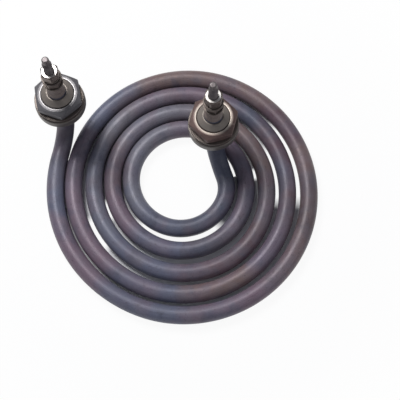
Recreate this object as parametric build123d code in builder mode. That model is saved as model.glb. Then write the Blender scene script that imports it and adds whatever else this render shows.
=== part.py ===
from build123d import *
from math import cos, pi, radians, sin, sqrt
import os

# Tubular heating element: a flat spiral of sheathed tube with two screwed terminals.
# Millimetres. The coil lies on the plane z = 0, both terminals point up along +Z, and the
# origin is on that plane, in the middle of the coil's outline.

# Sheath tube
tube_diameter = 8.0
tube_wall = 0.8
sheath_proud = 1.2  # how far the tube stands out of the ferrule's end

# Spiral, wound inward and counter-clockwise as seen from above
coil_radius = 58.7  # mean radius of the tube's centre line over the first half turn
half_turn_gaps = [0.3, 1.8, 0.9, 1.4, 0.4, 1.9, 0.3, 1.4]  # by which the turns draw apart
half_turn_ovals = [2.5, 2.5, 2.5, 3.1, 3.1, 3.1, 2.4, 2.4, 1.4]  # flat quarter over mean radius
last_quarter_radius = 16.0
inner_leg_gap = 0.2  # least gap between the inner leg's bend and the turn outside it
oval_direction = 155.0  # degrees, where the first flat quarter begins
outer_leg_direction = 164.3  # degrees, where the tube leaves the coil at the outside
inner_leg_direction = 17.0  # degrees, where it leaves the last quarter at the inside

# Legs
leg_bend_radius = 15.0
leg_height = 29.5  # from the resting plane to the underside of the ferrule's flange

# Ferrule: a flanged bush with a threaded barrel, brazed on the leg
thread_diameter = 14.0
flange_diameter = 22.2
flange_height = 4.0
flange_edge = 0.5
ferrule_neck_height = 2.5
ferrule_neck_wall = 1.4
ferrule_neck_chamfer = 0.7
braze_clearance = 0.05
thread_proud = 2.2  # how far the barrel stands out of the lock nut
thread_cone_height = 1.8
thread_cone_width = 2.4

# Gasket, wide washer and lock nut
wide_washer_diameter = 21.6
wide_washer_thickness = 1.0
wide_washer_edge = 0.25
gasket_diameter = 21.0
gasket_thickness = 1.5
gasket_edge = 0.5
lock_nut_flats = 19.0
lock_nut_height = 5.0
nut_face_share = 0.905  # diameter of a nut's flat face, as a share of its flats
nut_chamfer_slope = 0.577
nut_countersink_share = 0.03  # of the thread's radius
thread_clearance = 0.1  # radial, between a thread's plain cylinder and what goes over it

# Terminal stud and what is stacked on it
stud_diameter = 4.0
stud_length_above_nut = 10.6
stud_neck_diameter = 2.5
stud_neck_height = 0.7
stud_tip_diameter = 3.1
stud_tip_height = 2.6
stud_tip_rounding = 1.3
cold_pin_diameter = 3.0
cold_pin_nib_length = 4.0  # the nib that holds the resistance wire
bead_diameter = 8.0
bead_height = 8.1
bead_spigot_depth = 2.0
bead_rim = 0.6
bead_waist_depth = 0.5
washer_diameter = 8.6
washer_thickness = 0.8
washer_edge = 0.2
spring_washer_diameter = 7.4
spring_washer_thickness = 1.1
spring_washer_split = 0.8
small_nut_flats = 7.0
small_nut_height = 4.0

# Inside the sheath
coil_former_diameter = 3.2  # outside of the close-wound resistance wire
resistance_wall = 0.5
filling_clearance = 0.1
end_seal_depth = 6.0

# Turn of the nuts about the terminals' axes, degrees
outer_nut_turn = 38.0
inner_nut_turn = 13.0

tube_radius = tube_diameter / 2
tube_bore_radius = tube_radius - tube_wall
thread_radius = thread_diameter / 2
stud_radius = stud_diameter / 2

# Heights along a terminal, from the resting plane up
gasket_bottom = leg_height + flange_height
wide_washer_bottom = gasket_bottom + gasket_thickness
lock_nut_bottom = wide_washer_bottom + wide_washer_thickness
lock_nut_top = lock_nut_bottom + lock_nut_height
thread_top = lock_nut_top + thread_proud
sheath_top = thread_top + sheath_proud
bead_top = sheath_top + bead_height
lower_nut_bottom = bead_top + washer_thickness
upper_washer_bottom = lower_nut_bottom + small_nut_height
spring_washer_bottom = upper_washer_bottom + washer_thickness
upper_nut_bottom = spring_washer_bottom + spring_washer_thickness
stud_top = upper_nut_bottom + small_nut_height + stud_length_above_nut
seal_bottom = sheath_top - end_seal_depth
bend_top = tube_radius + leg_bend_radius
cold_pin_end_height = bend_top + thread_clearance + cold_pin_nib_length


def around(degrees):
    """Unit vector in the coil's plane at this direction."""
    return Vector(cos(radians(degrees)), sin(radians(degrees)), 0)


def axis_plane(seat):
    """Plane through a seat's axis: local x is the radius and local y the height."""
    return Plane(origin=seat.origin, x_dir=seat.x_dir, z_dir=-seat.y_dir)


def spiral_quarters():
    """Centre, radius and first direction of each quarter arc, each tangent to the one before."""
    mean_radius = coil_radius
    radii = [mean_radius + half_turn_ovals[0], mean_radius - half_turn_ovals[0]]
    for gap, oval in zip(half_turn_gaps, half_turn_ovals[1:]):
        mean_radius -= (tube_diameter + gap) / 2
        if mean_radius - oval <= last_quarter_radius:
            break  # a half turn is wound only where it is wider than the last quarter
        radii += [mean_radius + oval, mean_radius - oval]
    radii[-1] = min(radii[-1], radius_beside_leg(radii))
    radii.append(last_quarter_radius)
    centres = arc_centres(radii)
    directions = [oval_direction + 90 * number for number in range(len(radii))]
    quarters = list(zip(centres, radii, directions))
    across = (reach(quarters, 0) - reach(quarters, 180)) / 2
    along = (reach(quarters, 90) - reach(quarters, 270)) / 2
    middle = Vector(across, along, 0)
    return [(centre - middle, radius, direction) for centre, radius, direction in quarters]


def arc_centres(radii):
    """Each centre lies on the line through the last centre and the joint between the arcs."""
    centres = [Vector(0, 0, tube_radius)]
    for number in range(1, len(radii)):
        step = radii[number - 1] - radii[number]
        centres.append(centres[-1] + around(oval_direction + 90 * number) * step)
    return centres


def radius_beside_leg(radii):
    """Last flat quarter's radius at which the inner leg's bend clears the turn outside it.

    The bend is nearest to that turn where it has risen by about the tube's radius. That point
    moves in a straight line as the flat quarter's radius grows, until it meets the circle
    round the outer turn's centre that leaves the stated gap.
    """
    advance = sqrt(leg_bend_radius**2 - (leg_bend_radius - tube_radius) ** 2)
    apart = sqrt((tube_diameter + inner_leg_gap) ** 2 - tube_radius**2)
    joint = oval_direction + 90 * len(radii)
    centres = arc_centres([*radii[:-1], 0])
    bend_point = centres[-1] + around(inner_leg_direction + 90) * advance
    bend_point += (around(inner_leg_direction) - around(joint)) * last_quarter_radius
    outward = around(joint) - around(joint - 90)
    offset = bend_point - centres[-4]
    slope = offset.dot(outward)
    excess = offset.dot(offset) - (radii[-4] - apart) ** 2
    return (sqrt(max(0, slope**2 - 2 * excess)) - slope) / 2


def reach(quarters, towards):
    """How far the outermost turn's centre line reaches in this direction."""
    number = int((towards - oval_direction) % 360 // 90)
    centre, radius, _ = quarters[number]
    return centre.dot(around(towards)) + radius


quarters = spiral_quarters()
outer_centre, outer_radius, _ = quarters[0]
inner_centre, inner_radius, _ = quarters[-1]
outer_exit = outer_centre + around(outer_leg_direction) * outer_radius
inner_exit = inner_centre + around(inner_leg_direction) * inner_radius
outer_heading = around(outer_leg_direction - 90)
inner_heading = around(inner_leg_direction + 90)
outer_foot = outer_exit + outer_heading * leg_bend_radius
inner_foot = inner_exit + inner_heading * leg_bend_radius


def leg(exit_point, heading, top):
    """Bend from the coil's plane into the vertical, and the straight leg above it."""
    up = Vector(0, 0, 1)
    middle = exit_point + heading * (leg_bend_radius * sin(radians(45)))
    middle = middle + up * (leg_bend_radius * (1 - cos(radians(45))))
    bend_top = exit_point + heading * leg_bend_radius + up * leg_bend_radius
    ThreePointArc(exit_point, middle, bend_top)
    Line(bend_top, (bend_top.X, bend_top.Y, top))


def tube_route(top):
    """The tube's centre line between the height top on one leg and the same on the other."""
    with BuildLine() as route:
        leg(outer_exit, outer_heading, top)
        for number, (centre, radius, direction) in enumerate(quarters):
            first = outer_leg_direction if number == 0 else direction
            last = direction + 90
            if number == len(quarters) - 1:
                last = direction + (inner_leg_direction - direction) % 360
            CenterArc(centre, radius, first, last - first)
        leg(inner_exit, inner_heading, top)
    return route.wire()


def hollow_tube(top, outside_radius, bore_radius):
    """Tube along the whole route, open at both ends."""
    route = tube_route(top)
    across_leg = Plane(origin=(outer_foot.X, outer_foot.Y, top), z_dir=(0, 0, -1))
    with BuildPart() as tube:
        for radius, mode in ((outside_radius, Mode.ADD), (bore_radius, Mode.SUBTRACT)):
            with BuildSketch(across_leg):
                Circle(radius)
            sweep(path=route, mode=mode)
    return tube


# Sheath: one tube, from the end of one terminal through the spiral to the end of the other
sheath = hollow_tube(sheath_top, tube_radius, tube_bore_radius)

# Magnesia filling: packed round the resistance wire and the cold pins, up to the end seals
magnesia_filling = hollow_tube(
    seal_bottom,
    tube_bore_radius - filling_clearance,
    coil_former_diameter / 2 + filling_clearance,
)

# Resistance wire: its close-wound helix is drawn as the thin tube that it fills
resistance_wire = hollow_tube(
    cold_pin_end_height,
    coil_former_diameter / 2,
    coil_former_diameter / 2 - resistance_wall,
)


def hexagonal(seat, bottom, height, flats):
    """Hexagonal prism with its corners turned off at a shallow angle, in the active part."""
    corner = flats / sqrt(3)
    face = flats / 2 * nut_face_share
    rise = (corner - face) * nut_chamfer_slope
    top = bottom + height
    with BuildSketch(seat.offset(bottom)) as hexagon:
        RegularPolygon(radius=corner, side_count=6)
    extrude(hexagon.sketch, amount=height)
    with BuildSketch(axis_plane(seat)) as turned:
        with BuildLine():
            Polyline(
                (0, bottom),
                (face, bottom),
                (corner, bottom + rise),
                (corner, top - rise),
                (face, top),
                (0, top),
                close=True,
            )
        make_face()
    revolve(turned.sketch, axis=Axis(seat.origin, (0, 0, 1)), mode=Mode.INTERSECT)


def nut(seat, bottom, height, flats, bolt_radius):
    """Hexagonal nut with a countersunk bore that clears its thread."""
    bore_radius = bolt_radius + thread_clearance
    countersink = bolt_radius * nut_countersink_share
    with BuildPart() as piece:
        hexagonal(seat, bottom, height, flats)
        with BuildSketch(seat.offset(bottom)):
            Circle(bore_radius)
        extrude(amount=height, mode=Mode.SUBTRACT)
        rims = piece.edges().filter_by(GeomType.CIRCLE)
        chamfer([rim for rim in rims if rim.radius < bore_radius + 0.01], length=countersink)
    return piece


def ring(seat, bottom, height, outer_radius, bore_radius, edge):
    """Flat ring with its outer edges eased."""
    with BuildPart() as piece:
        with BuildSketch(seat.offset(bottom)):
            Circle(outer_radius)
            Circle(bore_radius, mode=Mode.SUBTRACT)
        extrude(amount=height)
        rims = piece.edges().filter_by(GeomType.CIRCLE)
        fillet([rim for rim in rims if rim.radius > bore_radius + 0.01], radius=edge)
    return piece


def ferrule_of(seat):
    """Flanged bush with a threaded barrel above and a short brazing neck below."""
    bore_radius = tube_radius + braze_clearance
    neck_radius = tube_radius + ferrule_neck_wall
    with BuildPart() as piece:
        with BuildSketch(seat.offset(leg_height)):
            Circle(flange_diameter / 2)
        extrude(amount=flange_height)
        fillet(piece.edges(), radius=flange_edge)
        with BuildSketch(seat.offset(leg_height - ferrule_neck_height)):
            Circle(neck_radius)
        extrude(amount=ferrule_neck_height)
        with BuildSketch(seat.offset(gasket_bottom)):
            Circle(thread_radius)
        extrude(amount=thread_top - gasket_bottom)
        thread_end = piece.faces().sort_by(Axis.Z)[-1]
        chamfer(thread_end.edges(), thread_cone_width, thread_cone_height, reference=thread_end)
        chamfer(piece.faces().sort_by(Axis.Z)[0].edges(), length=ferrule_neck_chamfer)
        with BuildSketch(seat.offset(leg_height - ferrule_neck_height)):
            Circle(bore_radius)
        extrude(amount=thread_top - leg_height + ferrule_neck_height, mode=Mode.SUBTRACT)
    return piece


def end_seal_of(seat):
    """Resin plug that closes the filling inside the tube's end."""
    height = end_seal_depth - bead_spigot_depth
    with BuildPart() as piece:
        with BuildSketch(seat.offset(seal_bottom)):
            Circle(tube_bore_radius - filling_clearance)
            Circle(cold_pin_diameter / 2 + filling_clearance, mode=Mode.SUBTRACT)
        extrude(amount=height)
    return piece


def bead_of(seat):
    """Ceramic bead: a spigot in the tube's end, a waisted body and two rims."""
    bore_radius = stud_radius + thread_clearance
    spigot_radius = tube_bore_radius - filling_clearance
    body_radius = bead_diameter / 2
    with BuildPart() as piece:
        with BuildSketch(axis_plane(seat)):
            with BuildLine():
                lower_side = Line((body_radius, sheath_top), (body_radius, sheath_top + bead_rim))
                upper_side = Line((body_radius, bead_top - bead_rim), (body_radius, bead_top))
                waist = (body_radius - bead_waist_depth, (sheath_top + bead_top) / 2)
                ThreePointArc(lower_side @ 1, waist, upper_side @ 0)
                Polyline(
                    upper_side @ 1,
                    (bore_radius, bead_top),
                    (bore_radius, sheath_top - bead_spigot_depth),
                    (spigot_radius, sheath_top - bead_spigot_depth),
                    (spigot_radius, sheath_top),
                    lower_side @ 0,
                )
            make_face()
        revolve(axis=Axis(seat.origin, (0, 0, 1)))
    return piece


def stud_of(seat):
    """Cold pin and terminal stud in one, with a nib that enters the resistance wire."""
    nib_radius = coil_former_diameter / 2 - resistance_wall - filling_clearance
    shoulder = sheath_top - bead_spigot_depth + stud_radius - cold_pin_diameter / 2
    neck_top = stud_top - stud_tip_height
    neck_bottom = neck_top - stud_neck_height
    thread_step = (stud_diameter - stud_neck_diameter) / 2
    with BuildPart() as piece:
        with BuildSketch(axis_plane(seat)):
            with BuildLine():
                Polyline(
                    (0, cold_pin_end_height - cold_pin_nib_length),
                    (nib_radius, cold_pin_end_height - cold_pin_nib_length),
                    (nib_radius, cold_pin_end_height),
                    (cold_pin_diameter / 2, cold_pin_end_height),
                    (cold_pin_diameter / 2, sheath_top - bead_spigot_depth),
                    (stud_radius, shoulder),
                    (stud_radius, neck_bottom - thread_step),
                    (stud_neck_diameter / 2, neck_bottom),
                    (stud_neck_diameter / 2, neck_top),
                    (stud_tip_diameter / 2, neck_top),
                    (stud_tip_diameter / 2, stud_top),
                    (0, stud_top),
                    close=True,
                )
            make_face()
        revolve(axis=Axis(seat.origin, (0, 0, 1)))
        fillet(piece.faces().sort_by(Axis.Z)[-1].edges(), radius=stud_tip_rounding)
    return piece


def spring_washer_of(seat):
    """Split ring, pressed flat between the washer and the nut."""
    bore_radius = stud_radius + thread_clearance
    outer_edge = spring_washer_diameter / 2
    with BuildPart() as piece:
        with BuildSketch(seat.offset(spring_washer_bottom)):
            Circle(outer_edge)
            Circle(bore_radius, mode=Mode.SUBTRACT)
        extrude(amount=spring_washer_thickness)
        with BuildSketch(axis_plane(seat)):
            with BuildLine():
                Polyline(
                    (-spring_washer_split, spring_washer_bottom),
                    (0, spring_washer_bottom),
                    (spring_washer_split, spring_washer_bottom + spring_washer_thickness),
                    (0, spring_washer_bottom + spring_washer_thickness),
                    close=True,
                )
            make_face()
        extrude(amount=outer_edge + thread_clearance, mode=Mode.SUBTRACT)
    return piece


terminals = [
    ("outer", outer_foot, outer_nut_turn),
    ("inner", inner_foot, inner_nut_turn),
]

pieces = {
    "sheath": sheath,
    "magnesia_filling": magnesia_filling,
    "resistance_wire": resistance_wire,
}

for side, foot, turn in terminals:
    seat = Plane(origin=(foot.X, foot.Y, 0), x_dir=around(turn), z_dir=(0, 0, 1))
    washer_bore = stud_radius + thread_clearance
    pieces[f"{side}_ferrule"] = ferrule_of(seat)
    thread_bore = thread_radius + thread_clearance
    pieces[f"{side}_gasket"] = ring(
        seat, gasket_bottom, gasket_thickness, gasket_diameter / 2, thread_bore, gasket_edge
    )
    pieces[f"{side}_wide_washer"] = ring(
        seat,
        wide_washer_bottom,
        wide_washer_thickness,
        wide_washer_diameter / 2,
        thread_bore,
        wide_washer_edge,
    )
    pieces[f"{side}_lock_nut"] = nut(
        seat, lock_nut_bottom, lock_nut_height, lock_nut_flats, thread_radius
    )
    pieces[f"{side}_end_seal"] = end_seal_of(seat)
    pieces[f"{side}_bead"] = bead_of(seat)
    pieces[f"{side}_stud"] = stud_of(seat)
    for name, bottom in (("lower", bead_top), ("upper", upper_washer_bottom)):
        pieces[f"{side}_{name}_washer"] = ring(
            seat, bottom, washer_thickness, washer_diameter / 2, washer_bore, washer_edge
        )
    pieces[f"{side}_spring_washer"] = spring_washer_of(seat)
    for name, bottom in (("lower", lower_nut_bottom), ("upper", upper_nut_bottom)):
        pieces[f"{side}_{name}_nut"] = nut(
            seat, bottom, small_nut_height, small_nut_flats, stud_radius
        )

os.makedirs("parts", exist_ok=True)
for name, piece in pieces.items():
    piece.part.label = name
    export_step(piece.part, f"parts/{name}.step")

route_length = tube_route(sheath_top).length
tube_section = pi * (tube_radius**2 - tube_bore_radius**2)
print(f"tube length {route_length:.1f} mm")
print(f"sheath volume {sheath.part.volume:.1f}, section times length {tube_section * route_length:.1f}")
print(f"outer terminal at {outer_foot.X:.3f}, {outer_foot.Y:.3f}")
print(f"inner terminal at {inner_foot.X:.3f}, {inner_foot.Y:.3f}")
print(f"contact nut's top at {upper_nut_bottom + small_nut_height:.3f}, stud's top at {stud_top:.3f}")
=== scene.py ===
import bmesh
import bpy
import numpy as np
from mathutils import Matrix, Vector


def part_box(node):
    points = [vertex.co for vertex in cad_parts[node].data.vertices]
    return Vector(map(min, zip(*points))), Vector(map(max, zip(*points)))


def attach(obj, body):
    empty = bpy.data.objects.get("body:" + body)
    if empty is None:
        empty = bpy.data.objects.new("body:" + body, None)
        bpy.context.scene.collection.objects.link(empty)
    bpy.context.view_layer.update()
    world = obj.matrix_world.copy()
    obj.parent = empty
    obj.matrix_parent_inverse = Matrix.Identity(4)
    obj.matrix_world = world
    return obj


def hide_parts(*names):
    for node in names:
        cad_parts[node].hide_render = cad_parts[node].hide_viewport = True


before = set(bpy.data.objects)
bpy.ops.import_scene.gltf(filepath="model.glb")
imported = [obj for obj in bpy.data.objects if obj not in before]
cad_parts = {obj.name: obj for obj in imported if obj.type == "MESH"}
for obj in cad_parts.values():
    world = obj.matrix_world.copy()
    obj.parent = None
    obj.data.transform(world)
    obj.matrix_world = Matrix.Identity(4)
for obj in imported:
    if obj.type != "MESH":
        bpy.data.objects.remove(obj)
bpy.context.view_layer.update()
mm = 0.001
samePoint = 1e-7  # points nearer than this are one
fineRelief = 0.02 * mm  # depth of the speckle on metal, ceramic and the inner pieces
coarseRelief = 0.03 * mm  # depth of the speckle on the tube and on rubber
noiseSpan = (0.3, 0.7)  # most values of a noise lie between these
terminalSides = ("outer", "inner")
print("frame loaded")


# Meshes

def gridMesh(name, grid, closedAlong=False, sharpAngle=40.0, tubeMap=None):
    # Quads join each point of a rows by columns grid to its neighbours; columns wrap round,
    # rows wrap too where the profile is a closed loop, and rows shrunk to a point become poles.
    rows, columns = grid.shape[:2]
    lastRow = rows if closedAlong else rows - 1
    row, column = np.meshgrid(np.arange(lastRow), np.arange(columns), indexing="ij")
    nextRow, nextColumn = (row + 1) % rows, (column + 1) % columns
    corners = [(row, column), (row, nextColumn), (nextRow, nextColumn), (nextRow, column)]
    quads = np.stack([r * columns + c for r, c in corners], axis=-1).reshape(-1, 4)
    mesh = bpy.data.meshes.new(name)
    mesh.from_pydata(grid.reshape(-1, 3).tolist(), [], quads.tolist())
    if tubeMap is not None:  # share of the length, and share of the way round
        around = column / columns
        aroundNext = (column + 1) / columns
        u = [tubeMap[row], tubeMap[row], tubeMap[nextRow], tubeMap[nextRow]]
        v = [around, aroundNext, aroundNext, around]
        layer = mesh.uv_layers.new(name="tubeMap")
        layer.data.foreach_set("uv", np.stack([np.stack(u, -1), np.stack(v, -1)], -1).ravel())
    work = bmesh.new()
    work.from_mesh(mesh)
    bmesh.ops.remove_doubles(work, verts=work.verts, dist=samePoint)
    bmesh.ops.recalc_face_normals(work, faces=work.faces)
    work.to_mesh(mesh)
    work.free()
    mesh.shade_smooth()
    mesh.set_sharp_from_angle(angle=np.radians(sharpAngle))
    piece = bpy.data.objects.new(name, mesh)
    bpy.context.scene.collection.objects.link(piece)
    return piece


def roundedProfile(corners, closed=True, steps=5):
    # Each corner (radius, height, rounding) becomes a parabola that touches both of its sides.
    mostOfSide = 0.49  # of a side that one rounding may use up
    points = np.array([corner[:2] for corner in corners], float)
    outline = []
    for number, (_, _, rounding) in enumerate(corners):
        here = points[number]
        if rounding <= 0 or (not closed and number in (0, len(corners) - 1)):
            outline.append(here)
            continue
        before = points[number - 1] - here
        after = points[(number + 1) % len(points)] - here
        lengthBefore, lengthAfter = np.linalg.norm(before), np.linalg.norm(after)
        before, after = before / lengthBefore, after / lengthAfter
        halfAngle = np.arccos(np.clip(before @ after, -1, 1)) / 2
        reach = min(lengthBefore, lengthAfter) * mostOfSide
        reach = min(rounding / np.tan(halfAngle), reach)
        start, end = here + before * reach, here + after * reach
        share = np.linspace(0, 1, steps)[:, None]
        curve = (1 - share) ** 2 * start + 2 * share * (1 - share) * here + share**2 * end
        outline.extend(curve)
    return np.array(outline)


def divided(profile, step, closed=True):
    # Adds points so that no side of the profile is longer than the step.
    ends = np.roll(profile, -1, axis=0) if closed else profile[1:]
    starts = profile if closed else profile[:-1]
    pieces = []
    for start, end in zip(starts, ends):
        count = max(1, int(np.ceil(np.linalg.norm(end - start) / step)))
        share = np.arange(count)[:, None] / count
        pieces.append(start + (end - start) * share)
    if not closed:
        pieces.append(profile[-1:])
    return np.concatenate(pieces)


def turnedGrid(profile, centre, columns, limit=None):
    # Point at angle a: the axis, plus the profile's radius along (cos a, sin a), at its height.
    # The limit is a radius for each angle, such as a hexagon's, blended in as a soft minimum.
    angles = np.arange(columns) * 2 * np.pi / columns
    radius = np.repeat(profile[:, :1], columns, axis=1)
    if limit is not None:
        sharpness = 90  # power of the soft minimum
        ratio = np.clip(radius / limit(angles)[None, :], 1e-6, None)
        radius = radius / (1 + ratio**sharpness) ** (1 / sharpness)
    height = np.repeat(profile[:, 1:2], columns, axis=1)
    x = centre[0] + radius * np.cos(angles)
    y = centre[1] + radius * np.sin(angles)
    return np.stack([x, y, height], axis=-1)


def hexagonLimit(flats, turn):
    # Distance to a hexagon's side: half the flats over the cosine of the angle to that side.
    def limit(angles):
        offset = (angles - np.radians(turn + 30)) % (np.pi / 3)
        offset = np.minimum(offset, np.pi / 3 - offset)
        return flats / 2 / np.cos(offset)
    return limit


def nodeAxis(node):
    # Where an upright node's axis stands, and its lowest and highest points.
    low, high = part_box(node)
    return ((low[0] + high[0]) / 2, (low[1] + high[1]) / 2), low[2], high[2]


def nodeRadius(node):
    low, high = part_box(node)
    return (high[0] - low[0]) / 2


def place(piece, node, material):
    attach(piece, "root")
    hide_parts(node)
    piece.data.materials.clear()
    piece.data.materials.append(material)


# Node helpers

def feed(tree, node, inputs):
    # Links each input whose value is a socket, and sets each whose value is plain.
    for socket, value in inputs.items():
        if isinstance(value, bpy.types.NodeSocket):
            tree.links.new(value, node.inputs[socket])
        else:
            node.inputs[socket].default_value = value


def addNode(tree, kind, inputs=None, **settings):
    node = tree.nodes.new(kind)
    for key, value in settings.items():
        setattr(node, key, value)
    feed(tree, node, inputs or {})
    return node


def newGroup(name, inputs, outputs):
    tree = bpy.data.node_groups.new(name, "ShaderNodeTree")
    for way, sockets in (("INPUT", inputs), ("OUTPUT", outputs)):
        for label, kind in sockets:
            tree.interface.new_socket(name=label, in_out=way, socket_type=kind)
    entry = tree.nodes.new("NodeGroupInput")
    leave = tree.nodes.new("NodeGroupOutput")
    return tree, entry, leave


def useGroup(tree, group, inputs):
    return addNode(tree, "ShaderNodeGroup", inputs, node_tree=group).outputs


def mixColors(tree, factor, first, second, blend="MIX"):
    # The sockets 0, 6 and 7 are the factor and the two colors, and output 2 is the mixed color.
    colors = [color if isinstance(color, bpy.types.NodeSocket) else (*color, 1.0)
              for color in (first, second)]
    node = addNode(
        tree, "ShaderNodeMix", {0: factor, 6: colors[0], 7: colors[1]},
        data_type="RGBA", blend_type=blend,
    )
    return node.outputs[2]


def mapRange(tree, value, low, high, newLow, newHigh):
    node = addNode(
        tree, "ShaderNodeMapRange",
        {"Value": value, "From Min": low, "From Max": high, "To Min": newLow, "To Max": newHigh},
    )
    return node.outputs["Result"]


def calculate(tree, operation, first, second):
    node = addNode(tree, "ShaderNodeMath", {0: first, 1: second}, operation=operation)
    return node.outputs[0]


def multiply(tree, first, second):
    return calculate(tree, "MULTIPLY", first, second)


def noise(tree, position, scale, detail, roughness=0.5, distortion=0.0):
    node = addNode(
        tree, "ShaderNodeTexNoise",
        {"Vector": position, "Scale": scale, "Detail": detail, "Roughness": roughness,
         "Distortion": distortion},
    )
    return node.outputs["Fac"]


def objectCoordinates(tree):
    return tree.nodes.new("ShaderNodeTexCoord").outputs["Object"]


def newMaterial(name):
    material = bpy.data.materials.new(name)
    material.use_nodes = True
    tree = material.node_tree
    tree.nodes.clear()
    shader = tree.nodes.new("ShaderNodeBsdfPrincipled")
    addNode(tree, "ShaderNodeOutputMaterial", {"Surface": shader.outputs[0]})
    return material, tree, shader


def bump(tree, shader, height, distance, strength):
    node = addNode(
        tree, "ShaderNodeBump", {"Height": height, "Distance": distance, "Strength": strength}
    )
    feed(tree, shader, {"Normal": node.outputs["Normal"]})


# Effects shared by the materials

effectShape = {
    "cloudRatio": 0.09,  # scale of the grain's slow cloud against its speckle
    "wearSpan": (0.52, 0.6),  # pointiness at which an edge begins to wear and is worn
    "wearScale": 900.0,
    "wearBreaks": (0.35, 0.6, 0.25, 1.0),  # noise span, then least and most wear
    "stainStart": 0.72,  # noise above which stain begins, less the amount's pull
    "amountPull": 0.4,
    "stainFade": 0.16,
    "spotRatio": 7.0,
    "spotSpan": (0.64, 0.72),
}


def buildGrain():
    # Fine speckle with a slower cloud under it: both are noise of the given position.
    tree, entry, leave = newGroup(
        "surfaceGrain",
        [("Position", "NodeSocketVector"), ("Scale", "NodeSocketFloat")],
        [("Speckle", "NodeSocketFloat"), ("Cloud", "NodeSocketFloat")],
    )
    position, scale = entry.outputs["Position"], entry.outputs["Scale"]
    speckle = noise(tree, position, scale, detail=3.0, roughness=0.65)
    cloudScale = multiply(tree, scale, effectShape["cloudRatio"])
    cloud = noise(tree, position, cloudScale, detail=4.0, roughness=0.6)
    feed(tree, leave, {"Speckle": speckle, "Cloud": cloud})
    return tree


def buildEdgeWear():
    # Mask that is high on convex edges: the mesh's pointiness, broken up by noise.
    tree, entry, leave = newGroup(
        "edgeWear",
        [("Position", "NodeSocketVector")],
        [("Mask", "NodeSocketFloat")],
    )
    geometry = tree.nodes.new("ShaderNodeNewGeometry")
    edges = mapRange(tree, geometry.outputs["Pointiness"], *effectShape["wearSpan"], 0, 1)
    patches = noise(tree, entry.outputs["Position"], effectShape["wearScale"], detail=3.0)
    broken = mapRange(tree, patches, *effectShape["wearBreaks"])
    feed(tree, leave, {"Mask": multiply(tree, edges, broken)})
    return tree


def buildTarnish():
    # Mask of uneven stain: two noises of different size, pulled to contrast.
    tree, entry, leave = newGroup(
        "tarnish",
        [("Position", "NodeSocketVector"), ("Scale", "NodeSocketFloat"),
         ("Amount", "NodeSocketFloat")],
        [("Mask", "NodeSocketFloat"), ("Spots", "NodeSocketFloat")],
    )
    position, scale = entry.outputs["Position"], entry.outputs["Scale"]
    clouds = noise(tree, position, scale, detail=6.0, roughness=0.62, distortion=0.6)
    pull = multiply(tree, entry.outputs["Amount"], effectShape["amountPull"])
    start = calculate(tree, "SUBTRACT", effectShape["stainStart"], pull)
    full = calculate(tree, "ADD", start, effectShape["stainFade"])
    mask = mapRange(tree, clouds, start, full, 0, 1)
    spotScale = multiply(tree, scale, effectShape["spotRatio"])
    spots = noise(tree, position, spotScale, detail=2.0)
    spotMask = mapRange(tree, spots, *effectShape["spotSpan"], 0, 1)
    feed(tree, leave, {"Mask": mask, "Spots": spotMask})
    return tree


grainGroup = buildGrain()
wearGroup = buildEdgeWear()
tarnishGroup = buildTarnish()


def grainAndStain(tree, look):
    # Both effects at the piece's own coordinates, by the scales of its look.
    position = objectCoordinates(tree)
    grain = useGroup(tree, grainGroup, {"Position": position, "Scale": look["grainScale"]})
    tarnish = useGroup(
        tree, tarnishGroup,
        {"Position": position, "Scale": look["stainScale"], "Amount": look["stainAmount"]},
    )
    return position, grain, tarnish


print("shared effects built")


# Heated tube: one length of round tube wound from the outer leg into the inner leg

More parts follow.
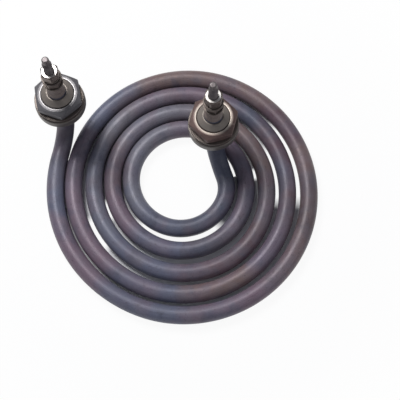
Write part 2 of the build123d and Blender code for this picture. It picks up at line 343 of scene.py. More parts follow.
tubeLook = {
    "diameter": 8.0 * mm,
    "wall": 0.8 * mm,
    "meanRadius": 58.7 * mm,  # of the first half turn
    "turnGaps": [0.3, 1.8, 0.9, 1.4, 0.4, 1.9, 0.3, 1.4],  # millimetres, after each half turn
    "ovals": [2.5, 2.5, 2.5, 3.1, 3.1, 3.1, 2.4, 2.4, 1.4],  # millimetres added and taken
    "lastRadius": 16.0 * mm,
    "startAngle": 155.0,  # where the first quarter arc begins
    "outerLegAngle": 164.3,  # the spoke that each leg stands on, in degrees
    "innerLegAngle": 17.0,
    "bendRadius": 15.0 * mm,
    "rows": 1900,
    "columns": 46,
    "endRounding": 0.12 * mm,
    "boreDepth": 2.4 * mm,
    "waviness": 0.05 * mm,  # unevenness that winding by hand leaves
    "waves": [(31.0 * mm, 1.3, 0.6), (11.7 * mm, 0.4, 0.4)],  # length per radian, start, share
    "waveFade": 35.0 * mm,  # the ends are round, and the waves grow over this length
    "dentTurn": 17.0 * mm,  # length over which the out-of-round side turns by one radian
    "tints": {
        "light": (0.174, 0.171, 0.206),
        "blue": (0.114, 0.123, 0.180),
        "slate": (0.074, 0.081, 0.119),
        "mauve": (0.173, 0.121, 0.158),
        "plum": (0.112, 0.070, 0.091),
        "brown": (0.178, 0.122, 0.117),
        "dark": (0.045, 0.040, 0.049),
    },
    "temperColors": [  # share of the tube's length from the outer leg, and its tint there
        (0.000, "slate"), (0.045, "slate"), (0.060, "blue"), (0.080, "mauve"), (0.105, "blue"),
        (0.130, "blue"), (0.150, "mauve"), (0.195, "brown"), (0.222, "plum"), (0.245, "brown"),
        (0.272, "brown"), (0.300, "blue"), (0.350, "mauve"), (0.388, "blue"), (0.412, "brown"),
        (0.440, "mauve"), (0.463, "plum"), (0.486, "slate"), (0.510, "mauve"), (0.540, "light"),
        (0.600, "blue"), (0.625, "mauve"), (0.652, "plum"), (0.690, "brown"), (0.730, "light"),
        (0.760, "mauve"), (0.798, "blue"), (0.825, "slate"), (0.868, "mauve"), (0.893, "light"),
        (0.915, "blue"), (0.945, "slate"),
    ],
    "drift": 0.09,  # share of the length within which the tints wander
    "driftScale": 38.0,
    "grainScale": 2600.0,
    "stainScale": 120.0,
    "stainAmount": 0.42,
    "stainDepth": 0.35,
    "spotDepth": 0.4,
    "streakScale": (90.0, 60.0, 1.0),  # along the tube and round it
    "streakRelief": 0.8,
    "streakShade": (0.35, 0.65, 0.88, 1.1),  # noise span, then darkest and lightest
    "speckleShade": (0.86, 1.14),
    "cloudShade": (0.35, 0.7, 0.0, 0.3),  # noise span, then least and most of the light tint
    "roughness": (0.36, 0.52),
    "metallic": 0.1,
    "specular": 0.38,
    "bump": 0.6,
    "patches": [  # noise scale, where it starts and is full, amount, tint
        (31.0, 0.50, 0.64, 0.40, "brown"),
        (37.5, 0.52, 0.66, 0.40, "blue"),
        (62.0, 0.54, 0.68, 0.45, "mauve"),
        (26.0, 0.56, 0.70, 0.40, "dark"),
        (95.0, 0.56, 0.68, 0.45, "slate"),
    ],
}


def direction(degrees):
    # Level unit vector at one angle.
    return np.array([np.cos(np.radians(degrees)), np.sin(np.radians(degrees)), 0.0])


def spokes(degrees):
    # Level unit vectors, one for each angle of an array.
    angles = np.radians(degrees)[:, None]
    return np.concatenate([np.cos(angles), np.sin(angles), angles * 0], axis=1)


def spiralQuarters(look):
    # Each quarter arc's centre lies on the line from its first point through the last centre.
    means = [look["meanRadius"]]
    for gap in look["turnGaps"]:
        means.append(means[-1] - (look["diameter"] + gap * mm) / 2)
    radii = []
    for mean, oval in zip(means, look["ovals"]):
        radii += [mean + oval * mm, mean - oval * mm]
    radii.append(look["lastRadius"])
    centres = [np.zeros(3)]
    for number in range(1, len(radii)):
        angle = look["startAngle"] + 90 * number
        centres.append(centres[-1] + direction(angle) * (radii[number - 1] - radii[number]))
    reach = []
    for towards in (0, 90, 180, 270):
        number = int((towards - look["startAngle"]) % 360 // 90)
        reach.append(centres[number] @ direction(towards) + radii[number])
    middle = np.array([(reach[0] - reach[2]) / 2, (reach[1] - reach[3]) / 2, 0.0])
    lift = np.array([0.0, 0.0, look["diameter"] / 2])
    return [(centre - middle + lift, radius) for centre, radius in zip(centres, radii)]


def legPoints(exitPoint, heading, bendRadius, top, step=0.4 * mm):
    # A quarter circle from level to upright, then a straight run up to the tube's end.
    bendPoints = 60
    turn = np.linspace(0, np.pi / 2, bendPoints)[:, None]
    up = np.array([0.0, 0.0, 1.0])
    bend = exitPoint + heading * bendRadius * np.sin(turn) + up * bendRadius * (1 - np.cos(turn))
    heights = np.arange(bend[-1, 2] + step, top, step)
    straight = np.repeat(bend[-1:], len(heights) + 1, axis=0)
    straight[:-1, 2] = heights
    straight[-1, 2] = top
    return np.concatenate([bend, straight])


def loopPath(look):
    # The spiral's centre line, with the angle of the spoke that each of its points lies on.
    quarters = spiralQuarters(look)
    angleStep = 0.4
    angles, points = [], []
    for number, (centre, radius) in enumerate(quarters):
        start = look["startAngle"] + 90 * number
        first = look["outerLegAngle"] if number == 0 else start
        last = start + 90
        if number == len(quarters) - 1:
            last = start + (look["innerLegAngle"] - start) % 360
        arc = np.arange(first, last, angleStep)
        angles.append(arc)
        points.append(centre + radius * spokes(arc))
    return np.concatenate(points), np.concatenate(angles)


def tubePath(look, top):
    # Leg, spiral and leg in one line, with the level spoke that stays square to it all along.
    points, angles = loopPath(look)
    quarters = spiralQuarters(look)
    outerAngle, innerAngle = look["outerLegAngle"], look["innerLegAngle"]
    outerExit = quarters[0][0] + direction(outerAngle) * quarters[0][1]
    innerExit = quarters[-1][0] + direction(innerAngle) * quarters[-1][1]
    outerLeg = legPoints(outerExit, direction(outerAngle - 90), look["bendRadius"], top)[::-1]
    innerLeg = legPoints(innerExit, direction(innerAngle + 90), look["bendRadius"], top)
    turned = np.concatenate([
        np.full(len(outerLeg), outerAngle), angles, np.full(len(innerLeg), angles[-1])
    ])
    return np.concatenate([outerLeg, points, innerLeg]), spokes(turned)


def onLine(wanted, steps, line):
    # Points of a line at the wanted lengths; its own points lie at the given steps.
    return np.stack([np.interp(wanted, steps, line[:, k]) for k in range(3)], axis=-1)


def evenlySpaced(path, sides, count):
    # The same path in equal steps, its sides there, and the length run through at each step.
    steps = np.r_[0, np.cumsum(np.linalg.norm(np.diff(path, axis=0), axis=1))]
    wanted = np.linspace(0, steps[-1], count)
    return onLine(wanted, steps, path), onLine(wanted, steps, sides), wanted


def buildTube(look):
    # A circle carried along the path, whose radius falls to the bore and then to a pole at
    # either end. Two sines along it thin it a little and press it slightly oval; the oval
    # turns slowly round the tube.
    sheathTop = nodeAxis("sheath")[2]
    path, sides, along = evenlySpaced(*tubePath(look, sheathTop), look["rows"])
    length = along[-1]
    radius = look["diameter"] / 2
    bore = radius - look["wall"]
    edge = look["endRounding"]
    tangent = np.gradient(path, axis=0)
    tangent /= np.linalg.norm(tangent, axis=1)[:, None]
    sides -= tangent * np.sum(sides * tangent, axis=1)[:, None]
    sides /= np.linalg.norm(sides, axis=1)[:, None]
    ups = np.cross(tangent, sides)
    fadeIn = np.clip(np.minimum(along, length - along) / look["waveFade"], 0, 1)
    wobble = sum(share * np.sin(along / run + start) for run, start, share in look["waves"])
    corner = edge * 0.3  # where the rounded rim's middle point lies
    mouth = np.array([  # distance from the end and radius, from the pole out to the rim
        (look["boreDepth"], 0.0), (look["boreDepth"], bore), (0.0, bore),
        (0.0, radius - edge), (corner, radius - corner),
    ])
    middle = along[2:-2]
    station = np.r_[mouth[:, 0], middle, length - mouth[::-1, 0]]
    reach = np.r_[mouth[:, 1], np.full(len(middle), radius), mouth[::-1, 1]][:, None]
    wave = np.interp(station, along, wobble * fadeIn)[:, None] * look["waviness"]
    base, out, up = [onLine(station, along, line) for line in (path, sides, ups)]
    angles = np.arange(look["columns"]) * 2 * np.pi / look["columns"]
    dent = np.sin(2 * angles + station[:, None] / look["dentTurn"]) * wave
    section = np.clip(reach - np.abs(wave) + dent * (reach >= radius), 0, None)
    section = np.where(reach == 0, 0, section)[..., None]
    grid = base[:, None, :] + section * (
        out[:, None, :] * np.cos(angles)[None, :, None]
        + up[:, None, :] * np.sin(angles)[None, :, None]
    )
    return gridMesh("heatedTube", grid, sharpAngle=50, tubeMap=station / length)


def tubeMaterial(look):
    material, tree, shader = newMaterial("oxidisedTube")
    tints = look["tints"]
    position, grain, tarnish = grainAndStain(tree, look)
    mapNode = addNode(tree, "ShaderNodeUVMap", uv_map="tubeMap")
    lengthwise = addNode(tree, "ShaderNodeSeparateXYZ", {0: mapNode.outputs["UV"]})
    wander = noise(tree, position, look["driftScale"], detail=3.0)
    offset = calculate(tree, "SUBTRACT", wander, 0.5)
    offset = multiply(tree, offset, look["drift"])
    shifted = calculate(tree, "ADD", lengthwise.outputs["X"], offset)
    ramp = addNode(tree, "ShaderNodeValToRGB", {"Fac": shifted})
    stops = look["temperColors"]
    ramp.color_ramp.interpolation = "EASE"
    elements = ramp.color_ramp.elements
    while len(elements) < len(stops):
        elements.new(0.5)
    for element, (share, _) in zip(elements, stops):
        element.position = share
    for element, (_, tint) in zip(elements, stops):  # once the stops stand in their final order
        element.color = (*tints[tint], 1.0)
    streakPlace = addNode(
        tree, "ShaderNodeMapping",
        {"Vector": mapNode.outputs["UV"], "Scale": look["streakScale"]},
    )
    streaks = noise(tree, streakPlace.outputs["Vector"], 1.0, detail=4.0, roughness=0.7)
    color = ramp.outputs["Color"]
    for scale, low, high, amount, tint in look["patches"]:
        patch = noise(tree, position, scale, detail=3.0, roughness=0.55, distortion=0.4)
        cover = mapRange(tree, patch, low, high, 0.0, amount)
        color = mixColors(tree, cover, color, tints[tint])
    cloudShade = mapRange(tree, grain["Cloud"], *look["cloudShade"])
    color = mixColors(tree, cloudShade, color, tints["light"])
    stain = multiply(tree, tarnish["Mask"], look["stainDepth"])
    color = mixColors(tree, stain, color, tints["dark"])
    streakShade = mapRange(tree, streaks, *look["streakShade"])
    speckleShade = mapRange(tree, grain["Speckle"], *noiseSpan, *look["speckleShade"])
    shade = multiply(tree, streakShade, speckleShade)
    grey = addNode(tree, "ShaderNodeCombineColor", {"Red": shade, "Green": shade, "Blue": shade})
    color = mixColors(tree, 1.0, color, grey.outputs["Color"], "MULTIPLY")
    spots = multiply(tree, tarnish["Spots"], look["spotDepth"])
    color = mixColors(tree, spots, color, tints["dark"])
    rough = mapRange(tree, grain["Cloud"], *noiseSpan, *look["roughness"])
    feed(tree, shader, {"Base Color": color, "Roughness": rough, "Metallic": look["metallic"],
                        "Specular IOR Level": look["specular"]})
    height = multiply(tree, streaks, look["streakRelief"])
    height = calculate(tree, "ADD", grain["Speckle"], height)
    bump(tree, shader, height, coarseRelief, look["bump"])
    return material


heatedTube = buildTube(tubeLook)
place(heatedTube, "sheath", tubeMaterial(tubeLook))
print("tube wound")


# Metal finish used by the bushes, nuts, washers and studs, each with its own colors

metalShared = {
    "stainDepth": 0.75,
    "spotDepth": 0.4,
    "shineBreaks": (0.3, 0.55, 0.6, 1.0),  # noise span, then least and most shine
    "cornerShine": 0.15,  # share of the painted sheen left at a face's corners
    "stainRoughness": 0.14,
    "speckleRoughness": (-0.04, 0.05),
}


def metalMaterial(name, look, rubAndSheenRing=None):
    material, tree, shader = newMaterial(name)
    position, grain, tarnish = grainAndStain(tree, look)
    wear = useGroup(tree, wearGroup, {"Position": position})
    tone = mapRange(tree, grain["Cloud"], *noiseSpan, 0.0, 1.0)
    color = mixColors(tree, tone, look["color"], look["secondColor"])
    for mask, depth, tint in (
        (tarnish["Mask"], metalShared["stainDepth"], "stainColor"),
        (tarnish["Spots"], metalShared["spotDepth"], "stainColor"),
        (wear["Mask"], look["wear"], "wearAndSheenColor"),
    ):
        color = mixColors(tree, multiply(tree, mask, depth), color, look[tint])
    # Painted sheen: faces are mixed towards the wear-and-sheen color by how far their normal
    # points up, as if they caught the lamp; round a nut's bore this also stands for rubbed wear.
    normal = tree.nodes.new("ShaderNodeNewGeometry").outputs["Normal"]
    facing = addNode(tree, "ShaderNodeSeparateXYZ", {0: normal})
    sheenAndRub = mapRange(tree, facing.outputs["Z"], *look["shineSlope"], 0.0, look["paintedFaceSheen"])
    uneven = mapRange(tree, grain["Cloud"], *metalShared["shineBreaks"])
    sheenAndRub = multiply(tree, sheenAndRub, uneven)
    if rubAndSheenRing:  # painted sheen, with some rubbed wear: the face is bright round the bore and dull towards the corners
        axis, brightReach, dullReach = rubAndSheenRing
        level = addNode(
            tree, "ShaderNodeVectorMath", {0: position, 1: (1, 1, 0)}, operation="MULTIPLY"
        )
        spread = addNode(
            tree, "ShaderNodeVectorMath", {0: level.outputs[0], 1: (*axis, 0)},
            operation="DISTANCE",
        )
        bright = mapRange(
            tree, spread.outputs["Value"], brightReach, dullReach, 1.0, metalShared["cornerShine"]
        )
        sheenAndRub = multiply(tree, sheenAndRub, bright)
    # The painted sheen brightens the color here.
    color = mixColors(tree, sheenAndRub, color, look["wearAndSheenColor"])
    rough = mapRange(tree, sheenAndRub, 0.0, 1.0, look["roughness"], look["shineRoughness"])
    stained = multiply(tree, tarnish["Mask"], metalShared["stainRoughness"])
    speckled = mapRange(tree, grain["Speckle"], *noiseSpan, *metalShared["speckleRoughness"])
    rough = calculate(tree, "ADD", rough, stained)
    rough = calculate(tree, "ADD", rough, speckled)
    feed(tree, shader, {"Base Color": color, "Roughness": rough, "Metallic": look["metallic"]})
    bump(tree, shader, grain["Speckle"], fineRelief, look["bump"])
    return material


bushLook = {
    "color": (0.165, 0.15, 0.14), "secondColor": (0.12, 0.105, 0.10),
    "stainColor": (0.065, 0.05, 0.047), "wearAndSheenColor": (0.26, 0.225, 0.195),
    "roughness": 0.46, "metallic": 0.55, "grainScale": 1500.0, "stainScale": 130.0,
    "stainAmount": 0.45, "bump": 0.35, "wear": 0.3,
    "paintedFaceSheen": 0.85, "shineSlope": (0.55, 0.72),  # how level a face is that gets the painted sheen
    "shineRoughness": 0.5,
}
lockNutShared = dict(bushLook, paintedFaceSheen=0.9, shineSlope=(0.93, 0.985), metallic=0.6)
# The nuts' bright wear-and-sheen color is mostly painted sheen on their top faces.
lockNutLook = {
    "outer": dict(lockNutShared, color=(0.155, 0.15, 0.16), secondColor=(0.12, 0.115, 0.122),
                  stainColor=(0.09, 0.08, 0.085), wearAndSheenColor=(0.60, 0.57, 0.56), roughness=0.60,
                  shineRoughness=0.36, brightReach=7.4 * mm, dullReach=8.0 * mm),
    "inner": dict(lockNutShared, color=(0.155, 0.10, 0.09), secondColor=(0.105, 0.07, 0.064),
                  stainColor=(0.07, 0.04, 0.04), wearAndSheenColor=(0.60, 0.53, 0.46), roughness=0.55,
                  shineRoughness=0.34, brightReach=7.7 * mm, dullReach=8.4 * mm),
}
# Its bright wear-and-sheen color paints a white sheen on the small nuts' top faces.
smallPartLook = {
    "color": (0.21, 0.175, 0.155), "secondColor": (0.15, 0.12, 0.107),
    "stainColor": (0.085, 0.065, 0.055), "wearAndSheenColor": (0.70, 0.67, 0.64),
    "roughness": 0.44, "metallic": 0.85, "grainScale": 2200.0, "stainScale": 240.0,
    "stainAmount": 0.35, "bump": 0.25, "wear": 0.3,
    "paintedFaceSheen": 1.0, "shineSlope": (0.93, 0.985), "shineRoughness": 0.36,
}
studLook = {
    "color": (0.175, 0.155, 0.155), "secondColor": (0.125, 0.108, 0.11),
    "stainColor": (0.075, 0.06, 0.06), "wearAndSheenColor": (0.32, 0.30, 0.30),
    "roughness": 0.44, "metallic": 0.7, "grainScale": 2600.0, "stainScale": 260.0,
    "stainAmount": 0.4, "bump": 0.3, "wear": 0.5,
    "paintedFaceSheen": 0.0, "shineSlope": (0.93, 0.985), "shineRoughness": 0.44,
}


# Screwed bush on each leg: brazing neck, round flange and threaded barrel with a coned end

bushShape = {
    "neckHeight": 2.5 * mm, "neckRadius": 5.4 * mm, "neckChamfer": 0.7 * mm,
    "flangeRadius": 11.1 * mm, "flangeHeight": 4.0 * mm, "flangeEdge": 0.5 * mm,
    "boreRadius": 4.05 * mm, "threadRadius": 7.0 * mm, "threadPitch": 1.5 * mm,
    "threadDepth": 0.55 * mm, "coneWidth": 2.4 * mm, "coneHeight": 1.8 * mm,
    "edge": 0.15 * mm, "columns": 160, "step": 0.2 * mm,
}


def cutThread(grid, profile, pitch, depth, radius, low, high, sharpness=1.0):
    # The radius dips by a raised cosine of height over pitch less angle over a full turn; the
    # dip fades out over one pitch at the lower end, and to a part of its depth at the upper.
    topShare = 0.4
    angles = np.arange(grid.shape[1]) * 2 * np.pi / grid.shape[1]
    height = profile[:, 1:2]
    onRadius = np.abs(profile[:, :1] - radius) < 0.02 * mm
    onThread = onRadius & (height > low) & (height < high)
    fade = np.clip((height - low) / pitch, 0, 1)
    fade = fade * np.clip((high - height) / pitch + topShare, 0, 1)
    phase = height / pitch - angles[None, :] / (2 * np.pi)
    groove = (0.5 - 0.5 * np.cos(2 * np.pi * phase)) ** sharpness * depth * fade * onThread
    grid[:, :, 0] -= groove * np.cos(angles)
    grid[:, :, 1] -= groove * np.sin(angles)


def buildBush(side, shape):
    # One closed outline of radius against height, turned about the leg, less the thread.
    centre, bottom, top = nodeAxis(f"{side}_ferrule")
    flangeBottom = bottom + shape["neckHeight"]
    flangeTop = flangeBottom + shape["flangeHeight"]
    edge, radius = shape["edge"], shape["threadRadius"]
    profile = roundedProfile([
        (shape["boreRadius"], bottom, edge),
        (shape["neckRadius"] - shape["neckChamfer"], bottom, edge),
        (shape["neckRadius"], bottom + shape["neckChamfer"], edge),
        (shape["neckRadius"], flangeBottom, edge * 2),
        (shape["flangeRadius"], flangeBottom, shape["flangeEdge"]),
        (shape["flangeRadius"], flangeTop, shape["flangeEdge"]),
        (radius, flangeTop, edge),
        (radius, top - shape["coneHeight"], edge * 2),
        (radius - shape["coneWidth"], top, edge * 2),
        (shape["boreRadius"], top, edge),
    ])
    profile = divided(profile, shape["step"])
    grid = turnedGrid(profile, centre, shape["columns"])
    cutThread(grid, profile, shape["threadPitch"], shape["threadDepth"], radius,
              flangeTop, top - shape["coneHeight"])
    return gridMesh(f"{side}Bush", grid, closedAlong=True, sharpAngle=60)


bushMaterial = metalMaterial("bushMetal", bushLook)
for side in terminalSides:
    place(buildBush(side, bushShape), f"{side}_ferrule", bushMaterial)
print("bushes turned")


# Hexagonal nuts: the flats cut a turned blank whose two faces are coned at the corners

nutShape = {
    "lock": {"flats": 19.0 * mm, "bore": 7.1 * mm, "faceShare": 0.905, "coneSlope": 0.577,
             "edge": 0.18 * mm, "sink": 0.21 * mm, "columns": 240, "step": 0.28 * mm,
             "turns": {"outer": 38.0, "inner": 13.0}},
    "small": {"flats": 7.0 * mm, "bore": 2.1 * mm, "faceShare": 0.905, "coneSlope": 0.577,
              "edge": 0.09 * mm, "sink": 0.06 * mm, "columns": 144, "step": 0.14 * mm,
              "turns": {"outer": {"lower": 8.0, "upper": 38.0},
                        "inner": {"lower": 40.0, "upper": 13.0}}},
}


def buildNut(name, node, shape, turn):
    # A turned blank whose faces slope away outside a circle, kept inside the hexagon.
    centre, bottom, top = nodeAxis(node)
    corner = shape["flats"] / np.sqrt(3)
    face = shape["flats"] / 2 * shape["faceShare"]
    drop = (corner - face) * shape["coneSlope"]
    edge, sink = shape["edge"], shape["sink"]
    profile = roundedProfile([
        (shape["bore"], bottom + sink, 0),
        (shape["bore"] + sink, bottom, 0),
        (face, bottom, edge),
        (corner + edge, bottom + drop, edge),
        (corner + edge, top - drop, edge),
        (face, top, edge),
        (shape["bore"] + sink, top, 0),
        (shape["bore"], top - sink, 0),
    ])
    profile = divided(profile, shape["step"])
    grid = turnedGrid(profile, centre, shape["columns"], hexagonLimit(shape["flats"], turn))
    return gridMesh(name, grid, closedAlong=True, sharpAngle=60)


smallMetal = metalMaterial("smallNutMetal", smallPartLook)
for side in terminalSides:
    node, shape, look = f"{side}_lock_nut", nutShape["lock"], lockNutLook[side]
    lockNut = buildNut(f"{side}LockNut", node, shape, shape["turns"][side])
    rubAndSheenRing = (nodeAxis(node)[0], look["brightReach"], look["dullReach"])
    place(lockNut, node, metalMaterial(f"{side}NutMetal", look, rubAndSheenRing))
    shape = nutShape["small"]
    for level, turn in shape["turns"][side].items():
        node = f"{side}_{level}_nut"
        nut = buildNut(f"{side}{level.title()}Nut", node, shape, turn)
        place(nut, node, smallMetal)
print("nuts cut")


# Washers, gaskets and split spring washers

wideRing = {"bore": 7.1 * mm, "columns": 120, "step": 0.5 * mm}
thinWasher = {"bore": 2.1 * mm, "edge": 0.16 * mm, "columns": 72, "step": 0.5 * mm}
ringShape = {
    "gasket": dict(wideRing, edge=0.5 * mm),
    "wide_washer": dict(wideRing, edge=0.22 * mm),
    "lower_washer": thinWasher,
    "upper_washer": thinWasher,
}
rubberLook = {"color": (0.060, 0.036, 0.034), "dust": (0.11, 0.085, 0.08), "dustAmount": 0.8,
              "roughness": (0.55, 0.72), "grainScale": 1800.0, "specular": 0.35,
              "dustSpan": (0.42, 0.75), "bump": 0.4}


def buildRing(name, node, shape):
    # A rectangle with rounded corners turned about the node's axis.
    centre, bottom, top = nodeAxis(node)
    radius, edge = nodeRadius(node), shape["edge"]
    profile = roundedProfile([
        (shape["bore"], bottom, edge / 2),
        (radius, bottom, edge),
        (radius, top, edge),
        (shape["bore"], top, edge / 2),
    ], steps=7)
    grid = turnedGrid(divided(profile, shape["step"]), centre, shape["columns"])
    return gridMesh(name, grid, closedAlong=True, sharpAngle=60)


def rubberMaterial(look):
    material, tree, shader = newMaterial("gasketRubber")
    position = objectCoordinates(tree)
    grain = useGroup(tree, grainGroup, {"Position": position, "Scale": look["grainScale"]})
    dust = mapRange(tree, grain["Cloud"], *look["dustSpan"], 0.0, look["dustAmount"])
    color = mixColors(tree, dust, look["color"], look["dust"])
    rough = mapRange(tree, grain["Speckle"], *noiseSpan, *look["roughness"])
    feed(tree, shader, {"Base Color": color, "Roughness": rough,
                        "Specular IOR Level": look["specular"]})
    bump(tree, shader, grain["Speckle"], coarseRelief, look["bump"])
    return material


gasketRubber = rubberMaterial(rubberLook)
washerLook = dict(smallPartLook, color=(0.16, 0.135, 0.12), secondColor=(0.12, 0.10, 0.09),
                  wearAndSheenColor=(0.35, 0.31, 0.28), roughness=0.5, paintedFaceSheen=0.0)
washerMetal = metalMaterial("washerMetal", washerLook)
for side in terminalSides:
    for kind, shape in ringShape.items():
        ringName = side + kind.title().replace("_", "")
        ring = buildRing(ringName, f"{side}_{kind}", shape)
        if kind == "gasket":
            place(ring, f"{side}_{kind}", gasketRubber)
        else:
            place(ring, f"{side}_{kind}", washerMetal)

springShape = {"bore": 2.1 * mm, "split": 0.8 * mm, "splitTurn": 235.0, "edge": 0.12 * mm,
               "columns": 96}


def buildSpringWasher(name, node, shape):
    # A square section carried round the axis, shrunk to its middle at either side of the split.
    centre, bottom, top = nodeAxis(node)
    radius, edge = nodeRadius(node), shape["edge"]
    gap = shape["split"] / radius
    angles = np.linspace(gap / 2, 2 * np.pi - gap / 2, shape["columns"])
    angles += np.radians(shape["splitTurn"])
    section = roundedProfile([
        (shape["bore"], bottom, edge), (radius, bottom, edge),
        (radius, top, edge), (shape["bore"], top, edge),
    ])
    middle = section.mean(axis=0)
    rows = np.concatenate([[angles[0]], angles, [angles[-1]]])
    scale = np.r_[0.0, np.ones(len(angles)), 0.0]
    r = middle[0] + (section[None, :, 0] - middle[0]) * scale[:, None]
    z = middle[1] + (section[None, :, 1] - middle[1]) * scale[:, None]
    grid = np.stack([
        centre[0] + r * np.cos(rows)[:, None], centre[1] + r * np.sin(rows)[:, None], z
    ], axis=-1)
    return gridMesh(name, grid, sharpAngle=60)


for side in terminalSides:
    node = f"{side}_spring_washer"
    spring = buildSpringWasher(f"{side}SpringWasher", node, springShape)
    place(spring, node, washerMetal)
print("washers and gaskets laid")


# Studs: cold pin below, threaded end with a run-out groove and a rounded tip above

studShape = {
    "radius": 2.0 * mm, "pinRadius": 1.5 * mm, "nibRadius": 1.0 * mm, "nibLength": 4.0 * mm,
    "neckRadius": 1.25 * mm, "neckHeight": 0.7 * mm, "tipRadius": 1.55 * mm,
    "tipHeight": 2.6 * mm, "tipRounding": 1.3 * mm, "pitch": 0.7 * mm, "depth": 0.32 * mm,
    "threadSharpness": 0.8, "edge": 0.1 * mm, "columns": 56, "step": 0.07 * mm,
}


def buildStud(side, shape):
    # An open outline from pole to pole, turned about the leg, less the thread.
    centre, bottom, top = nodeAxis(f"{side}_stud")
    beadBottom = nodeAxis(f"{side}_end_seal")[2]  # the bead sits on the seal
    nibTop = bottom + shape["nibLength"]
    radius, edge = shape["radius"], shape["edge"]
    shoulder = radius - shape["pinRadius"]
    neckTop = top - shape["tipHeight"]
    neckBottom = neckTop - shape["neckHeight"]
    threadTop = neckBottom - (radius - shape["neckRadius"])
    profile = roundedProfile([
        (0.0, bottom, 0), (shape["nibRadius"], bottom, edge),
        (shape["nibRadius"], nibTop, 0), (shape["pinRadius"], nibTop, edge),
        (shape["pinRadius"], beadBottom, 0), (radius, beadBottom + shoulder, 0),
        (radius, threadTop, edge),
        (shape["neckRadius"], neckBottom, edge),
        (shape["neckRadius"], neckTop, edge),
        (shape["tipRadius"], neckTop, edge * 2),
        (shape["tipRadius"], top, shape["tipRounding"]),
        (0.0, top, 0),
    ], closed=False, steps=9)
    profile = divided(profile, shape["step"], closed=False)
    grid = turnedGrid(profile, centre, shape["columns"])
    cutThread(grid, profile, shape["pitch"], shape["depth"], radius,
              beadBottom + shoulder, threadTop, shape["threadSharpness"])
    return gridMesh(f"{side}Stud", grid, sharpAngle=70)


studMetal = metalMaterial("studMetal", studLook)
for side in terminalSides:
    place(buildStud(side, studShape), f"{side}_stud", studMetal)
print("studs threaded")


# Ceramic beads that hold the studs clear of the tube

beadShape = {"bore": 2.1 * mm, "spigotRadius": 3.1 * mm, "spigotDepth": 2.0 * mm,
             "rim": 0.6 * mm, "waist": 0.5 * mm, "edge": 0.25 * mm, "columns": 80,
             "rows": 60, "step": 0.4 * mm,
             "grooves": (0.3, 0.66),  # shares of the height between the rims
             "grooveDepth": 0.22 * mm, "grooveWidth": 0.045}
beadLook = {"color": (0.185, 0.145, 0.13), "shade": (0.11, 0.085, 0.077),
            "roughness": (0.42, 0.62), "grainScale": 3000.0, "stainScale": 200.0,
            "stainAmount": 0.5, "stainDepth": 0.6, "speckleShade": (0.55, 0.75, 0.0, 0.35),
            "bump": 0.4}


def buildBead(side, shape):
    # The body's side is an arc that draws in by the waist between the two rims, less a bell
    # curve of height at each groove.
    centre, bottom, top = nodeAxis(f"{side}_bead")
    radius = nodeRadius(f"{side}_bead")
    seat = bottom + shape["spigotDepth"]
    edge = shape["edge"]
    lowRim, highRim = seat + shape["rim"], top - shape["rim"]
    sideHeights = np.linspace(lowRim, highRim, shape["rows"])
    share = (sideHeights - lowRim) / (highRim - lowRim)
    waist = radius - shape["waist"] * 4 * share * (1 - share)
    for groove in shape["grooves"]:
        waist -= shape["grooveDepth"] * np.exp(-((share - groove) / shape["grooveWidth"]) ** 2)
    profile = roundedProfile([
        (shape["bore"], bottom, edge / 2), (shape["spigotRadius"], bottom, edge / 2),
        (shape["spigotRadius"], seat, 0), (radius, seat, edge),
        *[(r, z, 0) for r, z in zip(waist, sideHeights)],
        (radius, top, edge), (shape["bore"], top, edge / 2),
    ])
    grid = turnedGrid(divided(profile, shape["step"]), centre, shape["columns"])
    return gridMesh(f"{side}Bead", grid, closedAlong=True, sharpAngle=60)


def beadMaterial(look):
    material, tree, shader = newMaterial("beadCeramic")
    _, grain, tarnish = grainAndStain(tree, look)
    stain = multiply(tree, tarnish["Mask"], look["stainDepth"])
    color = mixColors(tree, stain, look["color"], look["shade"])
    speckle = mapRange(tree, grain["Speckle"], *look["speckleShade"])
    color = mixColors(tree, speckle, color, look["shade"])
    rough = mapRange(tree, grain["Cloud"], *noiseSpan, *look["roughness"])
    feed(tree, shader, {"Base Color": color, "Roughness": rough})
    bump(tree, shader, grain["Speckle"], fineRelief, look["bump"])
    return material


beadCeramic = beadMaterial(beadLook)
for side in terminalSides:
    place(buildBead(side, beadShape), f"{side}_bead", beadCeramic)
print("beads fired")


# Pieces inside the tube keep their solids and get their own finishes

sealLook = ((0.42, 0.30, 0.22), (0.30, 0.20, 0.15), (0.45, 0.55), 0.0)
innerLook = {  # color, second color, span of roughness and metallic share of each inner node
    "magnesia_filling": ((0.80, 0.79, 0.75), (0.66, 0.64, 0.60), (0.85, 0.95), 0.0),
    "resistance_wire": ((0.30, 0.28, 0.27), (0.20, 0.18, 0.18), (0.40, 0.50), 0.9),
    "outer_end_seal": sealLook,
    "inner_end_seal": sealLook,
}


def plainMaterial(name, first, second, roughness, metallic):
    material, tree, shader = newMaterial(name)
    position = objectCoordinates(tree)
    grainScale, bumpStrength = 2000.0, 0.4
    grain = useGroup(tree, grainGroup, {"Position": position, "Scale": grainScale})
    tone = mapRange(tree, grain["Cloud"], *noiseSpan, 0.0, 1.0)
    color = mixColors(tree, tone, first, second)
    rough = mapRange(tree, grain["Speckle"], *noiseSpan, *roughness)
    feed(tree, shader, {"Base Color": color, "Roughness": rough, "Metallic": metallic})
    bump(tree, shader, grain["Speckle"], fineRelief, bumpStrength)
    return material


for node, look in innerLook.items():
    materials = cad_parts[node].data.materials
    materials.clear()
    materials.append(plainMaterial(node + "Finish", *look))
print("inner pieces finished")


# Floor, light and camera

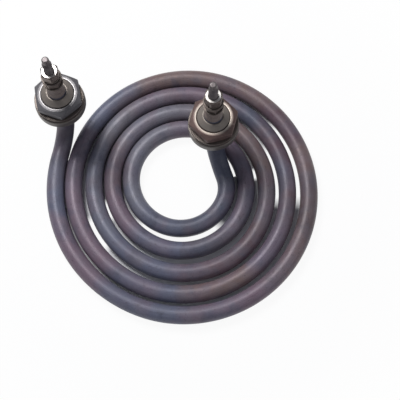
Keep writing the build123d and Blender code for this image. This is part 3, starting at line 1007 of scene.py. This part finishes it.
stageLook = {
    "floorColor": (0.88, 0.88, 0.90),
    "floorRoughness": 0.9,
    "floorSpecular": 0.1,
    "floorRadius": 3.0,
    "floorColumns": 600,
    "fineRings": (66.0, 0.4),  # millimetres: how far they reach, and their spacing
    "wideRings": (67 * mm, 24),  # the first one's radius, and their number
    "ownLight": 0.93,  # share of the floor's whiteness that shadows near the coil leave alone
    "shadowReach": (0.09, 0.16),  # from the first distance to the second that share grows to one
    "glowingSlits": [  # slits where the floor glows as painted light falling through: turns outside the slit, first and last angle, and the fade at its ends
        (1, -10, 40, 7), (2, -11, 32, 7), (3, 9, 20, 3), (3, 180, 200, 5), (2, 190, 217, 5),
        (4, 203, 325, 14),
    ],
    "worldColor": (0.86, 0.90, 1.0),
    "worldStrength": 0.27,
    "lamps": [  # name, place, size, watts
        ("keyLamp", (-0.19, 0.25, 0.52), 0.26, 3.0),
        ("fillLamp", (0.80, -0.55, 0.90), 0.80, 1.0),
    ],
    "lampAim": (0.0, 0.0, 0.01),
}


def slitMask(x, y, points, slits):
    # One where the floor glows: in an open slit, as painted light falling through it, and in the
    # middle and outside the coil, else zero.
    # How many turns of the path pass outside a point says which slit it lies in, and each
    # open slit spans some angles.
    turned = np.degrees(np.unwrap(np.arctan2(points[:, 1], points[:, 0])))
    reach = np.hypot(points[:, 0], points[:, 1])
    angle = np.degrees(np.arctan2(y, x))
    first = int(turned[0] // 360)
    distance = np.stack([
        np.interp(angle + 360 * turn, turned, reach, left=np.nan, right=np.nan)
        for turn in range(first, int(turned[-1] // 360) + 2)
    ]) - np.hypot(x, y)
    turnsOutside = np.sum(distance > 0, axis=0)
    turnsInside = np.sum(distance <= 0, axis=0)
    mask = ((turnsOutside == 0) | (turnsInside == 0)).astype(float)
    for number, start, end, fade in slits:
        offset = np.abs((angle - (start + end) / 2 + 180) % 360 - 180)
        window = np.clip(((end - start) / 2 - offset) / fade, 0, 1)
        mask = np.maximum(mask, window * (turnsOutside == number))
    return mask


def buildFloor(look, path):
    # A disc whose rings are close under the coil and then spread by equal ratios. It gives light
    # of its own where the path leaves it open, less near the coil, so shadows show; in the slits
    # between the turns this glow is painted light.
    angles = np.arange(look["floorColumns"]) * 2 * np.pi / look["floorColumns"]
    fineReach, spacing = look["fineRings"]
    wideStart, wideCount = look["wideRings"]
    rings = np.r_[
        np.arange(0, fineReach, spacing) * mm,
        np.geomspace(wideStart, look["floorRadius"], wideCount),
    ][:, None]
    grid = np.stack([
        rings * np.cos(angles), rings * np.sin(angles), rings * angles * 0
    ], axis=-1)
    floor = gridMesh("studioFloor", grid)
    if floor.data.polygons[0].normal.z < 0:
        floor.data.flip_normals()
    corners = np.empty(len(floor.data.vertices) * 3, np.float32)
    floor.data.vertices.foreach_get("co", corners)
    x, y, _ = corners.astype(float).reshape(-1, 3).T
    # The floor glows in listed slits between the turns: painted light falling through them.
    floorGlow = slitMask(x, y, path, look["glowingSlits"])
    layer = floor.data.attributes.new("floorGlow", "FLOAT", "POINT")
    layer.data.foreach_set("value", floorGlow.astype(np.float32))
    material, tree, shader = newMaterial("floorPaper")
    feed(tree, shader, {
        "Base Color": (*look["floorColor"], 1.0), "Roughness": look["floorRoughness"],
        "Specular IOR Level": look["floorSpecular"],
    })
    light = addNode(tree, "ShaderNodeEmission", {"Strength": 1.0})
    rays = tree.nodes.new("ShaderNodeLightPath")
    seen = rays.outputs["Is Camera Ray"]
    for kind in ("Is Glossy Ray", "Is Transmission Ray"):
        seen = calculate(tree, "MAXIMUM", seen, rays.outputs[kind])
    away = addNode(
        tree, "ShaderNodeVectorMath", {0: objectCoordinates(tree)}, operation="LENGTH"
    ).outputs["Value"]
    share = mapRange(tree, away, *look["shadowReach"], look["ownLight"], 1.0)
    between = addNode(tree, "ShaderNodeAttribute", attribute_name="floorGlow")
    share = multiply(tree, share, between.outputs["Fac"])
    share = multiply(tree, share, seen)
    blend = addNode(
        tree, "ShaderNodeMixShader", {0: share, 1: shader.outputs[0], 2: light.outputs[0]}
    )
    output = next(node for node in tree.nodes if node.type == "OUTPUT_MATERIAL")
    feed(tree, output, {"Surface": blend.outputs[0]})
    floor.data.materials.append(material)


def buildLight(look):
    world = bpy.data.worlds.new("studioWorld")
    world.use_nodes = True
    background = world.node_tree.nodes["Background"]
    feed(world.node_tree, background, {
        "Color": (*look["worldColor"], 1.0), "Strength": look["worldStrength"],
    })
    bpy.context.scene.world = world
    for name, location, size, watts in look["lamps"]:
        lamp = bpy.data.lights.new(name, "AREA")
        lamp.shape = "DISK"
        lamp.size, lamp.energy = size, watts
        lampObject = bpy.data.objects.new(name, lamp)
        lampObject.location = location
        aim = Vector(look["lampAim"]) - Vector(location)
        lampObject.rotation_euler = aim.to_track_quat("-Z", "Y").to_euler()
        bpy.context.scene.collection.objects.link(lampObject)


cameraLook = {
    "elevation": 72.0,  # degrees above the horizon, looking along +Y
    "distance": 448.7 * mm,
    "aimHeight": 4.0 * mm,
    "across": 8.06 * mm,  # the view's centre, right of the coil's middle
    "upward": -3.66 * mm,
    "roll": -2.5,
    "lens": 88.7,
    "sensorWidth": 36.0,
    "clip": (0.01, 20.0),
}


def buildCamera(look):
    elevation, roll = np.radians(look["elevation"]), np.radians(look["roll"])
    right = Vector((1, 0, 0))
    upward = Vector((0, np.sin(elevation), np.cos(elevation)))
    back = Vector((0, -np.cos(elevation), np.sin(elevation)))
    lensPlace = Vector((0, 0, look["aimHeight"])) + right * look["across"]
    lensPlace += upward * look["upward"] + back * look["distance"]
    axisX = right * np.cos(roll) + upward * np.sin(roll)
    axisY = upward * np.cos(roll) - right * np.sin(roll)
    camera = bpy.data.cameras.new("photoCamera")
    camera.lens = look["lens"]
    camera.sensor_width = look["sensorWidth"]
    camera.clip_start, camera.clip_end = look["clip"]
    cameraObject = bpy.data.objects.new("photoCamera", camera)
    matrix = Matrix((axisX, axisY, back)).transposed().to_4x4()
    matrix.translation = lensPlace
    cameraObject.matrix_world = matrix
    bpy.context.scene.collection.objects.link(cameraObject)
    bpy.context.scene.camera = cameraObject


buildFloor(stageLook, loopPath(tubeLook)[0])
buildLight(stageLook)
buildCamera(cameraLook)
bpy.context.scene.view_settings.view_transform = "Standard"
print("stage, lamps and camera set")
